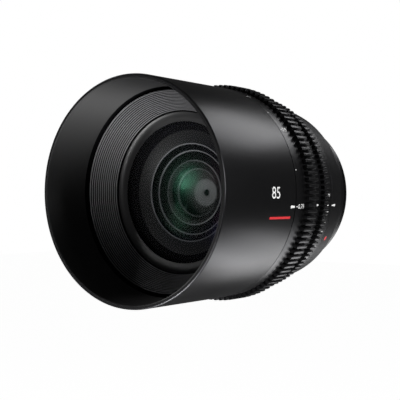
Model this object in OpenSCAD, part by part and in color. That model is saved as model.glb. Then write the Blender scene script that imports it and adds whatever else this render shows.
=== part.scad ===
// Cinema prime lens: geared focus and iris rings, helicoid cam focusing, ten blade iris.
// Lengths along the axis are written as s, the distance behind the front rim.
// The optical block is drawn at close focus and the iris at its smallest opening.

/* [Barrel] */
// outer diameter of the front barrel
front_d = 88; // [88:0.5:92]
// length of the front barrel, from the rim to the focus ring
barrel_len = 49; // [47:0.5:54]
// width of the rim face
rim_w = 1.7; // [1.4:0.1:2.4]
// visible gap between neighbouring rings
ring_gap = 0.3; // [0.2:0.05:0.5]

/* [Focus ring] */
// length of the focus ring
focus_len = 17.7; // [17:0.1:22]
// turn of the focus ring from close focus to infinity
focus_throw = 270; // [200:5:290]
// slide of the optical block over that turn
focus_travel = 12; // [9:0.5:12.5]

/* [Iris ring] */
// length of the iris ring
iris_len = 16.7; // [16.5:0.1:20]
// gear module of the focus ring, the follow focus standard; the iris gear is finer
gear_module = 0.8; // [0.8:0.01:0.82]
// turn of the iris ring from smallest to widest
iris_throw = 72; // [60:1:76]
// radius of the widest opening
iris_open_r = 10.4; // [10:0.1:10.8]
// radius of the smallest opening
iris_closed_r = 1.3; // [1.2:0.1:2]

/* [Rear and mount] */
// length of the tapered rear barrel
rear_len = 12.7; // [12.5:0.1:18]
// length from the rear barrel to the flange seat
mount_len = 15; // [13:0.5:22]
// outer diameter of the mount tube
mount_d = 68; // [66.5:0.5:70]
// outer diameter of the bayonet spigot
spigot_d = 51.8; // [50:0.2:53]
// length of the bayonet behind the flange seat
spigot_len = 5.2; // [4.6:0.2:7]

/* [Fits] */
// radial clearance of turning and sliding fits
run_fit = 0.05; // [0.03:0.01:0.08]
// radial clearance of screwed and seated joints
seat_fit = 0.02; // [0.01:0.005:0.03]
// clearance between faces that move past each other
face_gap = 0.15; // [0.1:0.01:0.2]

/* [Hidden] */
$fn = 120;

front_r = front_d / 2;
mount_r = mount_d / 2;
spigot_r = spigot_d / 2;
lug_r = spigot_r + 1.4;
seat_in = lug_r + 0.3;
edge_c = 0.35;

s_seam = barrel_len;
s_focus0 = s_seam + ring_gap;
s_focus1 = s_focus0 + focus_len;
s_iris0 = s_focus1 + ring_gap;
s_iris1 = s_iris0 + iris_len;
s_rear0 = s_iris1 + ring_gap;
s_rear1 = s_rear0 + rear_len;
s_flange = s_rear1 + mount_len;

// fixed core
guide_wall = 2.2;
guide_r = front_r - 6.4;
guide_bore = guide_r - guide_wall;
tube_seat_r = guide_bore - 2.9;
tube_in = tube_seat_r - 3;
lip_t = 1.6;
plate_t = 2;
s_plate1 = s_seam + 0.2;
s_plate0 = s_plate1 - plate_t;
s_lip0 = s_plate0 - lip_t;
plate_r = front_r - 3;
barrel_bore = front_r - 2.8;
hood_bore = front_r - rim_w;
s_wall = s_rear1 - 2.4;
barrel_screw_n = 6;
barrel_screw_r = (guide_r + 0.1 + barrel_bore) / 2;

// focus cam
sleeve_in = guide_r + run_fit;
sleeve_wall = 1.6;
sleeve_r = sleeve_in + sleeve_wall;
sleeve_flange_r = sleeve_r + 2.25;
sleeve_screw_r = sleeve_r + 1.05;
sleeve_flange_t = 1.5;
s_sleeve0 = s_plate1 + face_gap;
s_retainer = s_iris0 + 3.6;
retainer_t = 1;
s_sleeve1 = s_retainer - face_gap;
roller_r = 1.8;
follower_n = 3;
follower_a0 = 60;
stop_pin_r = 0.6;
stop_depth = 1.85;
stop_pin_at = (guide_r + sleeve_r) / 2;
stop_pin_a = 40;
stop_pin_half = asin((stop_pin_r + run_fit) / stop_pin_at);

// gears, the tooth counts follow the front diameter
rim_gear = 0.8;
focus_teeth = round((front_d + 2 * rim_gear) / gear_module);
focus_pitch_r = gear_module * focus_teeth / 2;
iris_pitch_r = gear_module * (focus_teeth - 6) / 2;
iris_teeth = round(2 * iris_pitch_r / (0.875 * gear_module));
focus_band_r = focus_pitch_r - 1.25 * gear_module;
iris_band_r = iris_pitch_r - 1.35 * gear_module;
focus_gear_s = s_focus0 + 7.4;
focus_gear_w = 7.8;
iris_gear_s = s_iris0 + 6.8;
iris_gear_w = 4.4;

// iris ring on the rear barrel
hub_wall = 2;
hub_r = guide_r + hub_wall;
iris_bore = hub_r + run_fit;
retainer_r = hub_r + 0.5;
iris_step = s_retainer + retainer_t + face_gap;
fork_w = 8;
fork_t = 3.2;
s_fork = s_iris1 - 4.2;
fork_a = 150;
lever_w = 3;
lever_out = guide_bore - 3;
lever_in = lever_out - 2.2;
lever_screw_at = lever_in - 2;
lever_foot = lever_in - 4.4;
fork_out = hub_r + 0.7;
fork_in = lever_in - 0.6;
fork_half = asin((fork_w / 2 + 0.6) / guide_bore);

// optical block
front_ring_len = 10.8;
front_ring_r = front_r - 4.3;
s_block = s_lip0 - 0.3 - focus_travel - front_ring_len;
block_r = guide_bore - run_fit;
block_in = block_r - 1.75;
cone_in = block_in - 0.8;
cell_r = block_in - 1.2;
s_tube0 = s_block + 9.9;
s_roller = s_block + 31.5;
s_tube1 = s_block + 41.5;
s_web0 = s_block + 22.9;
s_web1 = s_block + 24.7;
web_r = iris_open_r + 9.6;
ridge_n = 13;

// glass, radius and the s of the edge faces
el1_r = cell_r - 2.4;
el1_s0 = s_block + 11.5;
el1_s1 = s_block + 14.7;
ring2_r = el1_r - 5;
el2_r = ring2_r - 4.5;
el2_s0 = s_block + 18.2;
el2_s1 = s_block + 19.1;
el3_r = iris_open_r + 2.2;
ring3_r = el3_r + 0.4;
el3_s0 = s_block + 21.1;
el3_s1 = s_block + 22.5;
el4_r = iris_open_r + 2.6;
el4_s0 = s_block + 35.6;
el4_s1 = s_block + 38.2;
el5_r = el4_r + 3;
el5_s0 = s_block + 41;
el5_s1 = s_block + 44.6;
el6_r = el5_r + 2;
el6_s0 = s_block + 48.6;
el6_s1 = s_block + 53.2;

// iris
blade_n = 10;
blade_t = 0.06;
blade_w = 5.6;
blade_tilt = 8.5;
blade_end_r = 1.5;
blade_taper = 8;
blade_swing = iris_throw / 2;
pivot_r = (iris_open_r - iris_closed_r) / (2 * sin(blade_swing / 2));
blade_span = 180 - blade_swing;
blade_len = 2 * pivot_r * cos(blade_swing / 2);
pin_r = 0.45;
drive_pin_r = 0.5;
drive_slot_w = 0.75;
s_base0 = s_web1 + 0.1;
s_base1 = s_base0 + 0.8;
s_pivot = s_base1 + 0.35;
blade_rise = blade_len * tan(blade_tilt);
s_drive0 = s_pivot + blade_rise + 0.45;
s_drive1 = s_drive0 + 1.4;
s_cover0 = s_drive1 + face_gap;
s_cover1 = s_cover0 + 1.2;
s_cell1 = s_cover1 + 1.7;
drive_r = iris_open_r + 9;
drive_in = iris_open_r + 1;
house_in = drive_r + 0.4;
house_r = house_in + 3.7;
cell_screw_n = 4;
cell_screw_r = (house_in + house_r) / 2 + 0.05;
cell_screw_len = s_cell1 - s_web0 - 0.2;
cell_screw_a = [250, 320, 30, 100];
window_half = asin(3.4 / house_in);

function z(s) = s_flange - s;

// the axis of the lens lies along Y, front towards -Y
module laid() {
    rotate([90, 0, 0]) children();
}

// solid of revolution from points [radius, s]
module turned(p) {
    rotate_extrude() polygon([for (q = p) [q[0], z(q[1])]]);
}

// part of a turned ring between two angles
module arc_ring(r0, r1, s0, s1, a0, a1) {
    rotate([0, 0, a0])
        rotate_extrude(angle = a1 - a0)
            polygon([[r0, z(s1)], [r1, z(s1)], [r1, z(s0)], [r0, z(s0)]]);
}

// cylinder along the axis from s0 to s1
module axial(r, s0, s1, at, a) {
    rotate([0, 0, a]) translate([at, 0, z(s1)]) cylinder(r = r, h = s1 - s0, $fn = 32);
}

// cylinder along a radius from r0 to r1
module radial(r, r0, r1, s, a) {
    rotate([0, 0, a]) translate([r0, 0, z(s)]) rotate([0, 90, 0]) cylinder(r = r, h = r1 - r0, $fn = 32);
}

// countersunk screw along the axis, head face at s0, dir 1 runs to larger s
module csk(shank, head, s0, len, dir, at, a) {
    rotate([0, 0, a]) translate([at, 0, z(s0)]) rotate([dir > 0 ? 180 : 0, 0, 0])
        difference() {
            rotate_extrude($fn = 32)
                polygon([[0, 0], [head, 0], [shank, head - shank], [shank, len], [0, len]]);
            translate([0, 0, -0.1]) cylinder(r = head * 0.42, h = 0.1 + (head - shank) * 0.9, $fn = 6);
        }
}

// seat for such a screw, larger by the fit
module csk_seat(shank, head, s0, len, dir, at, a) {
    rotate([0, 0, a]) translate([at, 0, z(s0)]) rotate([dir > 0 ? 180 : 0, 0, 0])
        rotate_extrude($fn = 32)
            polygon([[0, -1], [head + seat_fit, -1], [head + seat_fit, 0], [shank + seat_fit, head - shank],
                [shank + seat_fit, len + 0.2], [0, len + 0.2]]);
}

// toothed band, straight flanks at the standard tooth height
module gear_band(n, pitch, inner, s0, w) {
    m = 2 * pitch / n;
    tip = pitch + m;
    root = pitch - 1.25 * m;
    tip_h = 0.45 * m / tip * 57.2958;
    root_h = 1.025 * m / root * 57.2958;
    step = 360 / n;
    translate([0, 0, z(s0 + w)]) linear_extrude(height = w) difference() {
        polygon([for (i = [0 : n - 1]) for (k = [0 : 3])
            let (a = i * step + [-root_h, -tip_h, tip_h, root_h][k], r = (k == 0 || k == 3) ? root : tip)
                [r * cos(a), r * sin(a)]]);
        circle(r = inner);
    }
}

// helical cut through the sleeve for one follower, with round ends
module cam_slot(a0) {
    h = roller_r + run_fit;
    deg = 57.2958 * 2 / (sleeve_in + sleeve_r);
    half = focus_throw / 2;
    round = [for (t = [90, 72, 54, 36, 18]) [half + (face_gap + h * cos(t)) * deg, h * sin(t)]];
    path = concat([for (i = [4 : -1 : 0]) [-round[i][0], round[i][1]]],
        [for (i = [-20 : 20]) [half * i / 20.5, h]], round);
    n = len(path) - 1;
    p = [for (q = path)
        let (a = a0 + half + q[0], c = z(s_roller + focus_travel * (q[0] + half) / focus_throw))
            for (k = [[sleeve_in - 0.7, -1], [sleeve_r + 0.7, -1], [sleeve_r + 0.7, 1], [sleeve_in - 0.7, 1]])
                [k[0] * cos(a), k[0] * sin(a), c + k[1] * q[1]]];
    sides = [for (i = [0 : n - 1]) for (k = [0 : 3])
        let (b = 4 * i, q = (k + 1) % 4)
            for (t = [[b + k, b + q, b + 4 + q], [b + k, b + 4 + q, b + 4 + k]]) t];
    ends = [[0, 3, 2], [0, 2, 1], [4 * n, 4 * n + 1, 4 * n + 2], [4 * n, 4 * n + 2, 4 * n + 3]];
    polyhedron(points = p, faces = concat(sides, ends));
}

// lens element, curved faces given by radius, r_front > 0 bulges forward, r_rear > 0 is hollow from behind
module element(r, s0, s1, r_front, r_rear) {
    rise_f = r_front - sqrt(r_front * r_front - r * r);
    rise_r = r_rear - sqrt(r_rear * r_rear - r * r);
    intersection() {
        difference() {
            translate([0, 0, z(s1)]) cylinder(r = r, h = s1 - s0 + rise_f + 1);
            translate([0, 0, z(s1) + rise_r - r_rear]) sphere(r = r_rear, $fn = 160);
        }
        translate([0, 0, z(s0) + rise_f - r_front]) sphere(r = r_front, $fn = 160);
    }
}

// element bulging both ways
module element_bi(r, s0, s1, r_front, r_rear) {
    rise_f = r_front - sqrt(r_front * r_front - r * r);
    rise_r = r_rear - sqrt(r_rear * r_rear - r * r);
    intersection() {
        translate([0, 0, z(s1) - rise_r - 1]) cylinder(r = r, h = s1 - s0 + rise_f + rise_r + 2);
        translate([0, 0, z(s0) + rise_f - r_front]) sphere(r = r_front, $fn = 160);
        translate([0, 0, z(s1) - rise_r + r_rear]) sphere(r = r_rear, $fn = 160);
    }
}

module front_barrel() {
    color("#1b1b1d") laid() difference() {
        turned([[hood_bore + 0.25, 0], [front_r - 0.4, 0], [front_r, 0.4], [front_r, s_seam - edge_c],
            [front_r - edge_c, s_seam], [plate_r + seat_fit, s_seam], [plate_r + seat_fit, s_plate0],
            [guide_r + 0.1, s_plate0], [guide_r + 0.1, s_lip0], [barrel_bore, s_lip0], [barrel_bore, s_block],
            [hood_bore, 3], [hood_bore, 0.25]]);
        for (i = [0 : barrel_screw_n - 1])
            csk_seat(0.8, 1.6, s_lip0, 3.3, 1, barrel_screw_r, i * 360 / barrel_screw_n + 30);
    }
}

module guide_tube() {
    color("#8d9095") laid() difference() {
        turned([[guide_bore, s_plate0], [plate_r, s_plate0], [plate_r, s_plate1], [guide_r, s_plate1],
            [guide_r, s_wall], [guide_bore, s_wall]]);
        for (i = [0 : follower_n - 1]) {
            a = follower_a0 + i * 360 / follower_n;
            radial(roller_r + run_fit, guide_bore - 1, guide_r + 1, s_roller - face_gap, a);
            radial(roller_r + run_fit, guide_bore - 1, guide_r + 1, s_roller + focus_travel + face_gap, a);
            rotate([0, 0, a]) translate([guide_bore - 1, -roller_r - run_fit, z(s_roller + focus_travel + face_gap)])
                cube([guide_r - guide_bore + 2, 2 * roller_r + 2 * run_fit, focus_travel + 2 * face_gap]);
        }
        arc_ring(guide_bore - 1, guide_r + 1, s_fork - fork_t / 2 - 0.3, s_fork + fork_t / 2 + 0.3,
            fork_a - fork_half, fork_a + iris_throw + fork_half);
        for (i = [0 : barrel_screw_n - 1])
            csk_seat(0.8, 1.6, s_lip0, 3.3, 1, barrel_screw_r, i * 360 / barrel_screw_n + 30);
        for (i = [0 : 3])
            csk_seat(0.6, 1.15, s_rear1, 6.5, -1, (guide_r + guide_bore) / 2, i * 90 + 20);
    }
}

module barrel_screws() {
    color("#303236") laid()
        for (i = [0 : barrel_screw_n - 1])
            csk(0.8, 1.6, s_lip0, 3.3, 1, barrel_screw_r, i * 360 / barrel_screw_n + 30);
}

module rear_barrel() {
    color("#1b1b1d") laid() difference() {
        turned([[guide_r + seat_fit, s_retainer + retainer_t], [hub_r, s_retainer + retainer_t], [hub_r, s_rear0],
            [iris_band_r - 0.55, s_rear0], [iris_band_r - 0.3, s_rear0 + 0.25], [iris_band_r - 2.2, s_rear1 - 0.4],
            [iris_band_r - 2.6, s_rear1], [tube_seat_r + seat_fit, s_rear1],
            [tube_seat_r + seat_fit, s_wall],
            [guide_r + seat_fit, s_wall]]);
        arc_ring(guide_bore - 1, hub_r + 1, s_fork - fork_t / 2 - 0.3, s_fork + fork_t / 2 + 0.3,
            fork_a - fork_half, fork_a + iris_throw + fork_half);
        for (i = [0 : 3])
            csk_seat(0.6, 1.15, s_rear1, 6.5, -1, (guide_r + guide_bore) / 2, i * 90 + 20);
    }
}

module rear_barrel_screws() {
    color("#303236") laid()
        for (i = [0 : 3])
            csk(0.6, 1.15, s_rear1, 6.5, -1, (guide_r + guide_bore) / 2, i * 90 + 20);
}

module iris_retainer() {
    color("#8d9095") laid() difference() {
        turned([[guide_r + seat_fit, s_retainer], [retainer_r, s_retainer],
            [retainer_r, s_retainer + retainer_t], [guide_r + seat_fit, s_retainer + retainer_t]]);
        axial(stop_pin_r + seat_fit, s_retainer - 1, s_retainer + 2, stop_pin_at, stop_pin_a);
    }
}

module focus_stop_pin() {
    color("#b9bcc0") laid()
        axial(stop_pin_r, s_retainer - stop_depth + 0.4, s_retainer + retainer_t, stop_pin_at, stop_pin_a);
}

module mount_tube() {
    color("#1b1b1d") laid() difference() {
        turned([[tube_in, s_wall], [tube_seat_r, s_wall], [tube_seat_r, s_rear1], [mount_r, s_rear1],
            [mount_r, s_flange - 2.7], [tube_in, s_flange - 2.7]]);
        for (i = [0 : 3])
            csk_seat(0.9, 1.8, s_flange, 8, -1, mount_r - 2.4, i * 90 + 45);
    }
}

module mount_shim() {
    color("#c9a24a") laid() difference() {
        turned([[tube_in + 0.1, s_flange - 2.7], [mount_r - 0.3, s_flange - 2.7],
            [mount_r - 0.3, s_flange - 2.5], [tube_in + 0.1, s_flange - 2.5]]);
        for (i = [0 : 3])
            csk_seat(0.9, 1.8, s_flange, 8, -1, mount_r - 2.4, i * 90 + 45);
    }
}

module bayonet_mount() {
    color("#c3c5c8") laid() difference() {
        union() {
            turned([[spigot_r - 2.7, s_flange - 2.5], [mount_r, s_flange - 2.5], [mount_r, s_flange - 0.3],
                [mount_r - 0.3, s_flange], [seat_in, s_flange], [seat_in, s_flange - 0.3],
                [spigot_r, s_flange - 0.3], [spigot_r, s_flange + spigot_len - 0.4],
                [spigot_r - 0.4, s_flange + spigot_len], [spigot_r - 2.7, s_flange + spigot_len]]);
            for (i = [0 : 2])
                arc_ring(spigot_r - 0.5, lug_r, s_flange + 1.6, s_flange + 3.1, i * 120 + 8, i * 120 + 54);
        }
        for (i = [0 : 3])
            csk_seat(0.9, 1.8, s_flange, 8, -1, mount_r - 2.4, i * 90 + 45);
        axial(1.1, s_flange - 1.8, s_flange + 1, mount_r - 3.2, 0);
    }
}

module mount_screws() {
    color("#9a9da1") laid()
        for (i = [0 : 3])
            csk(0.9, 1.8, s_flange, 8, -1, mount_r - 2.4, i * 90 + 45);
}

module rear_baffle() {
    color("#141415") laid() difference() {
        turned([[0, s_flange - 1.2], [spigot_r - 2.7 - seat_fit, s_flange - 1.2],
            [spigot_r - 2.7 - seat_fit, s_flange + 1.4], [spigot_r - 3.5, s_flange + 1.4],
            [spigot_r - 3.5, s_flange], [0, s_flange]]);
        translate([-16.5, -11.5, z(s_flange + 5)]) cube([33, 23, 10]);
    }
}

module focus_ring() {
    color("#1b1b1d") laid() difference() {
        union() {
            turned([[sleeve_flange_r + seat_fit, s_focus0], [focus_band_r - edge_c, s_focus0],
                [focus_band_r, s_focus0 + edge_c], [focus_band_r, focus_gear_s + 0.1],
                [focus_band_r - 0.6, focus_gear_s + 0.1], [focus_band_r - 0.6, focus_gear_s + focus_gear_w + 0.4],
                [focus_band_r - 0.9, s_focus1], [sleeve_r + seat_fit, s_focus1],
                [sleeve_r + seat_fit, s_sleeve0 + sleeve_flange_t],
                [sleeve_flange_r + seat_fit, s_sleeve0 + sleeve_flange_t]]);
            gear_band(focus_teeth, focus_pitch_r, focus_band_r - 1.5, focus_gear_s, focus_gear_w);
        }
        for (i = [0 : 3])
            csk_seat(0.5, 0.95, s_sleeve0, 4.5, 1, sleeve_screw_r, i * 90 + 10);
    }
}

module cam_sleeve() {
    color("#b39a5b") laid() difference() {
        turned([[sleeve_in, s_sleeve0], [sleeve_flange_r, s_sleeve0], [sleeve_flange_r, s_sleeve0 + sleeve_flange_t],
            [sleeve_r, s_sleeve0 + sleeve_flange_t], [sleeve_r, s_sleeve1], [sleeve_in, s_sleeve1]]);
        for (i = [0 : follower_n - 1])
            cam_slot(follower_a0 + i * 360 / follower_n);
        arc_ring(sleeve_in - 1, sleeve_r + 1, s_sleeve1 - stop_depth, s_sleeve1 + 1,
            stop_pin_a - stop_pin_half - 0.3, stop_pin_a + focus_throw + stop_pin_half + 0.3);
        for (i = [0 : 3])
            csk_seat(0.5, 0.95, s_sleeve0, 4.5, 1, sleeve_screw_r, i * 90 + 10);
    }
}

module sleeve_screws() {
    color("#303236") laid()
        for (i = [0 : 3])
            csk(0.5, 0.95, s_sleeve0, 4.5, 1, sleeve_screw_r, i * 90 + 10);
}

module block_tube() {
    color("#2a2b2e") laid() difference() {
        turned([[block_in, s_tube0], [block_r, s_tube0], [block_r, s_tube1], [block_in, s_tube1], [block_in, s_web1],
            [web_r, s_web1], [web_r, s_web0], [block_in, s_web0]]);
        for (i = [0 : follower_n - 1])
            radial(0.8 + seat_fit, block_in - 1, block_r + 1, s_roller, follower_a0 + i * 360 / follower_n);
        for (i = [0 : cell_screw_n - 1])
            axial(0.6 + seat_fit, s_web0, s_web1 + 1, cell_screw_r, cell_screw_a[i]);
    }
}

module ridged_front_ring() {
    s_in = s_tube0 - 0.7;
    r_top = front_ring_r - 0.35;
    color("#232426") laid()
        turned(concat(
            [for (i = [0 : 2 * ridge_n])
                let (t = i / (2 * ridge_n), d = (i % 2 == 1) ? 0.28 : 0)
                    [r_top + (cone_in - r_top) * t + d * 0.78,
                        s_block + 0.2 + (s_in - s_block - 0.2) * t + d * 0.62]],
            [[cone_in, s_tube0], [block_r + seat_fit, s_tube0], [block_r + seat_fit, s_block + front_ring_len],
                [front_ring_r, s_block + front_ring_len],
                [front_ring_r, s_block + 0.25], [front_ring_r - 0.2, s_block]]));
}

module front_cell() {
    color("#1f2022") laid()
        turned([[cell_r + seat_fit, s_tube0 + 0.15], [block_in - seat_fit, s_tube0 + 0.15], [block_in - seat_fit, s_web0],
            [web_r - seat_fit, s_web0], [web_r - seat_fit, s_web1], [iris_open_r + 0.3, s_web1],
            [el3_r - 3.3, el3_s1 + 0.6],
            [el3_r - 3.3, el3_s1], [ring3_r + seat_fit, el3_s1], [ring3_r + seat_fit, s_block + 20],
            [el2_r - 4, s_block + 20],
            [el2_r - 4, el2_s1], [el2_r + seat_fit, el2_s1], [el2_r + seat_fit, el2_s0],
            [ring2_r + seat_fit, el2_s0],
            [ring2_r + seat_fit, s_block + 15.2], [el1_r - 2.6, el1_s1 + 0.1], [el1_r - 2.6, el1_s1],
            [el1_r + seat_fit, el1_s1],
            [el1_r + seat_fit, el1_s0], [cell_r + seat_fit, el1_s0]]);
}

module front_retaining_ring() {
    color("#26272a") laid()
        turned([[cell_r, s_tube0 + 0.2], [cell_r, el1_s0 - seat_fit], [el1_r, el1_s0 - seat_fit],
            [el1_r - 0.1, el1_s0 - 0.08], [el1_r - 1.4, el1_s0 - 0.65], [el1_r - 1.4, el1_s0 - 1],
            [el1_r - 1, el1_s0 - 1.1]]);
}

module front_element() {
    color("#9fb6c8") laid() element(el1_r, el1_s0, el1_s1, 80, 160);
}

module second_retaining_ring() {
    color("#26272a") laid()
        turned([[ring2_r, s_block + 15.5], [ring2_r, el2_s0 - seat_fit], [el2_r, el2_s0 - seat_fit],
            [el2_r - 1.1, el2_s0 - 0.65], [el2_r - 1.1, s_block + 17.4]]);
}

module second_element() {
    color("#9fb6c8") laid() element(el2_r, el2_s0, el2_s1, 48, 200);
}

module third_retaining_ring() {
    color("#26272a") laid()
        turned([[ring3_r, s_block + 20], [ring3_r, el3_s0 - seat_fit], [el3_r, el3_s0 - 0.05],
            [el3_r - 1.8, el3_s0 - 0.45], [el3_r - 1.8, s_block + 20.3]]);
}

module third_element() {
    color("#9fb6c8") laid() element(el3_r, el3_s0, el3_s1, 60, 80);
}

module iris_housing() {
    color("#2a2b2e") laid() difference() {
        turned([[iris_open_r + 0.3, s_base0], [house_r, s_base0], [house_r, s_cover0], [house_in, s_cover0],
            [house_in, s_base1], [iris_open_r + 0.3, s_base1]]);
        for (i = [0 : blade_n - 1])
            axial(pin_r + run_fit, s_base0 - 1, s_base1 + 1, pivot_r, i * 360 / blade_n);
        arc_ring(house_in - 1, house_r + 1, s_drive0 - 0.2, s_cover0 + 1,
            fork_a - window_half, fork_a + iris_throw + window_half);
        for (i = [0 : cell_screw_n - 1])
            axial(0.6 + seat_fit, s_base0 - 1, s_cover0 + 1, cell_screw_r, cell_screw_a[i]);
    }
}

module iris_cover() {
    color("#2a2b2e") laid() difference() {
        turned([[drive_in + 0.2, s_cover0], [house_r, s_cover0], [house_r, s_cover1], [drive_in + 0.2, s_cover1]]);
        for (i = [0 : cell_screw_n - 1])
            axial(0.6 + seat_fit, s_cover0 - 1, s_cover1 + 1, cell_screw_r, cell_screw_a[i]);
    }
}

module rear_cell() {
    color("#1f2022") laid() difference() {
        turned([[el4_r - 1.4, s_cover1], [house_r, s_cover1], [house_r, s_cell1], [el6_r + 2.4, s_cell1],
            [el6_r + 2.4, el6_s1 + 2.8],
            [el6_r + seat_fit, el6_s1 + 2.8], [el6_r + seat_fit, el6_s0], [el5_r + seat_fit, el6_s0],
            [el5_r + seat_fit, el5_s0], [el4_r + seat_fit, el5_s0], [el4_r + seat_fit, el4_s0], [el4_r - 1.4, el4_s0]]);
        for (i = [0 : cell_screw_n - 1])
            csk_seat(0.6, 1.15, s_cell1, cell_screw_len, -1, cell_screw_r, cell_screw_a[i]);
    }
}

module rear_cell_screws() {
    color("#303236") laid()
        for (i = [0 : cell_screw_n - 1])
            csk(0.6, 1.15, s_cell1, cell_screw_len, -1, cell_screw_r, cell_screw_a[i]);
}

module fourth_element() {
    color("#9fb6c8") laid()
        difference() {
            translate([0, 0, z(el4_s1)]) cylinder(r = el4_r, h = el4_s1 - el4_s0);
            translate([0, 0, z(el4_s0) + 28]) sphere(r = 29.4, $fn = 160);
        }
}

module fourth_retaining_ring() {
    color("#26272a") laid()
        turned([[el4_r - 2, el4_s1], [el4_r, el4_s1], [el4_r, el4_s1 + 1.2], [el4_r - 1.6, el4_s1 + 1.2]]);
}

module fifth_element() {
    color("#9fb6c8") laid() element_bi(el5_r, el5_s0 + 0.68, el5_s1 - 0.4, 70, 70);
}

module rear_spacer() {
    color("#26272a") laid()
        turned([[el5_r - 1.4, el5_s1], [el5_r, el5_s1 - 0.37], [el5_r, el6_s0 - 0.05], [el5_r - 1.4, el6_s0 - 0.25]]);
}

module sixth_element() {
    color("#9fb6c8") laid() element_bi(el6_r, el6_s0 + 0.32, el6_s1, 120, 70);
}

module rear_retaining_ring() {
    color("#26272a") laid()
        turned([[el6_r, el6_s1 + 0.05], [el6_r, el6_s1 + 2.2], [el6_r - 2, el6_s1 + 2.2], [el6_r - 2, el6_s1 + 0.6]]);
}

module follower_bushes() {
    color("#c9a24a") laid()
        for (i = [0 : follower_n - 1])
            difference() {
                radial(roller_r, block_r, sleeve_r - 0.35, s_roller, follower_a0 + i * 360 / follower_n);
                radial(0.8 + seat_fit, block_r - 1, sleeve_r, s_roller, follower_a0 + i * 360 / follower_n);
                radial(1.3 + seat_fit, sleeve_r - 1.15, sleeve_r, s_roller, follower_a0 + i * 360 / follower_n);
            }
}

module follower_screws() {
    color("#303236") laid()
        for (i = [0 : follower_n - 1])
            difference() {
                union() {
                    radial(0.8, block_in + 0.1, sleeve_r - 1, s_roller, follower_a0 + i * 360 / follower_n);
                    radial(1.3, sleeve_r - 1.15, sleeve_r - 0.45, s_roller, follower_a0 + i * 360 / follower_n);
                }
                rotate([0, 0, follower_a0 + i * 360 / follower_n])
                    translate([sleeve_r - 0.8, -0.2, z(s_roller) - 2]) cube([1, 0.4, 4]);
            }
}

module iris_ring() {
    color("#1b1b1d") laid() difference() {
        union() {
            turned([[retainer_r + 0.2, s_iris0], [iris_band_r - 0.25, s_iris0], [iris_band_r, s_iris0 + 0.25],
                [iris_band_r, s_iris1 - 0.25], [iris_band_r - 0.25, s_iris1], [iris_bore, s_iris1],
                [iris_bore, iris_step], [retainer_r + 0.2, iris_step]]);
            gear_band(iris_teeth, iris_pitch_r, retainer_r + 0.4, iris_gear_s, iris_gear_w);
        }
        rotate([0, 0, fork_a]) translate([hub_r - 3, -fork_w / 2 - seat_fit, z(s_fork + fork_t / 2 + seat_fit)])
            cube([fork_out + seat_fit - hub_r + 3, fork_w + 2 * seat_fit, fork_t + 2 * seat_fit]);
        for (k = [-1, 1])
            rotate([0, 0, fork_a]) translate([fork_out - 4.3, k * 2.6, z(s_fork)]) rotate([0, 90, 0])
                cylinder(r = 0.62, h = 8);
    }
}

module iris_fork() {
    color("#8d9095") laid() difference() {
        rotate([0, 0, fork_a]) translate([fork_in, -fork_w / 2, z(s_fork + fork_t / 2)])
            cube([fork_out - fork_in, fork_w, fork_t]);
        rotate([0, 0, fork_a]) translate([fork_in - 1, -lever_w / 2 - run_fit, z(s_fork + fork_t / 2) - 1])
            cube([lever_out + 0.6 - fork_in + 1, lever_w + 2 * run_fit, fork_t + 2]);
        for (k = [-1, 1])
            rotate([0, 0, fork_a]) translate([fork_out - 4.3, k * 2.6, z(s_fork)]) rotate([0, 90, 0])
                cylinder(r = 0.62, h = 8);
    }
}

module fork_screws() {
    color("#303236") laid()
        for (k = [-1, 1])
            rotate([0, 0, fork_a]) translate([fork_out - 4.2, k * 2.6, z(s_fork)]) rotate([0, 90, 0]) difference() {
                cylinder(r = 0.6, h = iris_band_r - fork_out + 4, $fn = 32);
                translate([0, 0, iris_band_r - fork_out + 3.4]) cylinder(r = 0.36, h = 1, $fn = 6);
            }
}

module iris_drive_ring() {
    color("#9da0a4") laid() difference() {
        union() {
            turned([[drive_in, s_drive0], [drive_r, s_drive0], [drive_r, s_drive1], [drive_in, s_drive1]]);
            rotate([0, 0, fork_a]) translate([drive_r - 2, -2.5, z(s_drive1)])
                cube([lever_out - drive_r + 2, 5, s_drive1 - s_drive0]);
        }
        for (i = [0 : blade_n - 1])
            rotate([0, 0, i * 360 / blade_n - blade_span - iris_throw]) {
                translate([pivot_r - 1.9, -drive_slot_w, z(s_drive1) - 1]) cube([2, 2 * drive_slot_w, 4]);
                translate([pivot_r - 1.9, 0, z(s_drive1) - 1]) cylinder(r = drive_slot_w, h = 4, $fn = 32);
                translate([pivot_r + 0.1, 0, z(s_drive1) - 1]) cylinder(r = drive_slot_w, h = 4, $fn = 32);
            }
        axial(0.6 + seat_fit, s_drive0 - 1, s_drive1 + 1, lever_screw_at, fork_a);
    }
}

module iris_lever() {
    color("#9da0a4") laid() difference() {
        union() {
            rotate([0, 0, fork_a]) translate([lever_foot, -2.5, z(s_drive1 + 1.4)])
                cube([lever_out - lever_foot, 5, 1.4]);
            rotate([0, 0, fork_a]) translate([lever_in, -lever_w / 2, z(s_fork + fork_t / 2 + 0.4)])
                cube([lever_out - lever_in, lever_w, s_fork + fork_t / 2 + 0.4 - s_drive1]);
        }
        axial(0.6 + seat_fit, s_drive1 - 1, s_drive1 + 3, lever_screw_at, fork_a);
    }
}

module lever_screw() {
    color("#303236") laid() {
        axial(0.6, s_drive0 - 0.2, s_drive1 + 1.4, lever_screw_at, fork_a);
        axial(1.1, s_drive0 - 0.6, s_drive0, lever_screw_at, fork_a);
    }
}

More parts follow.
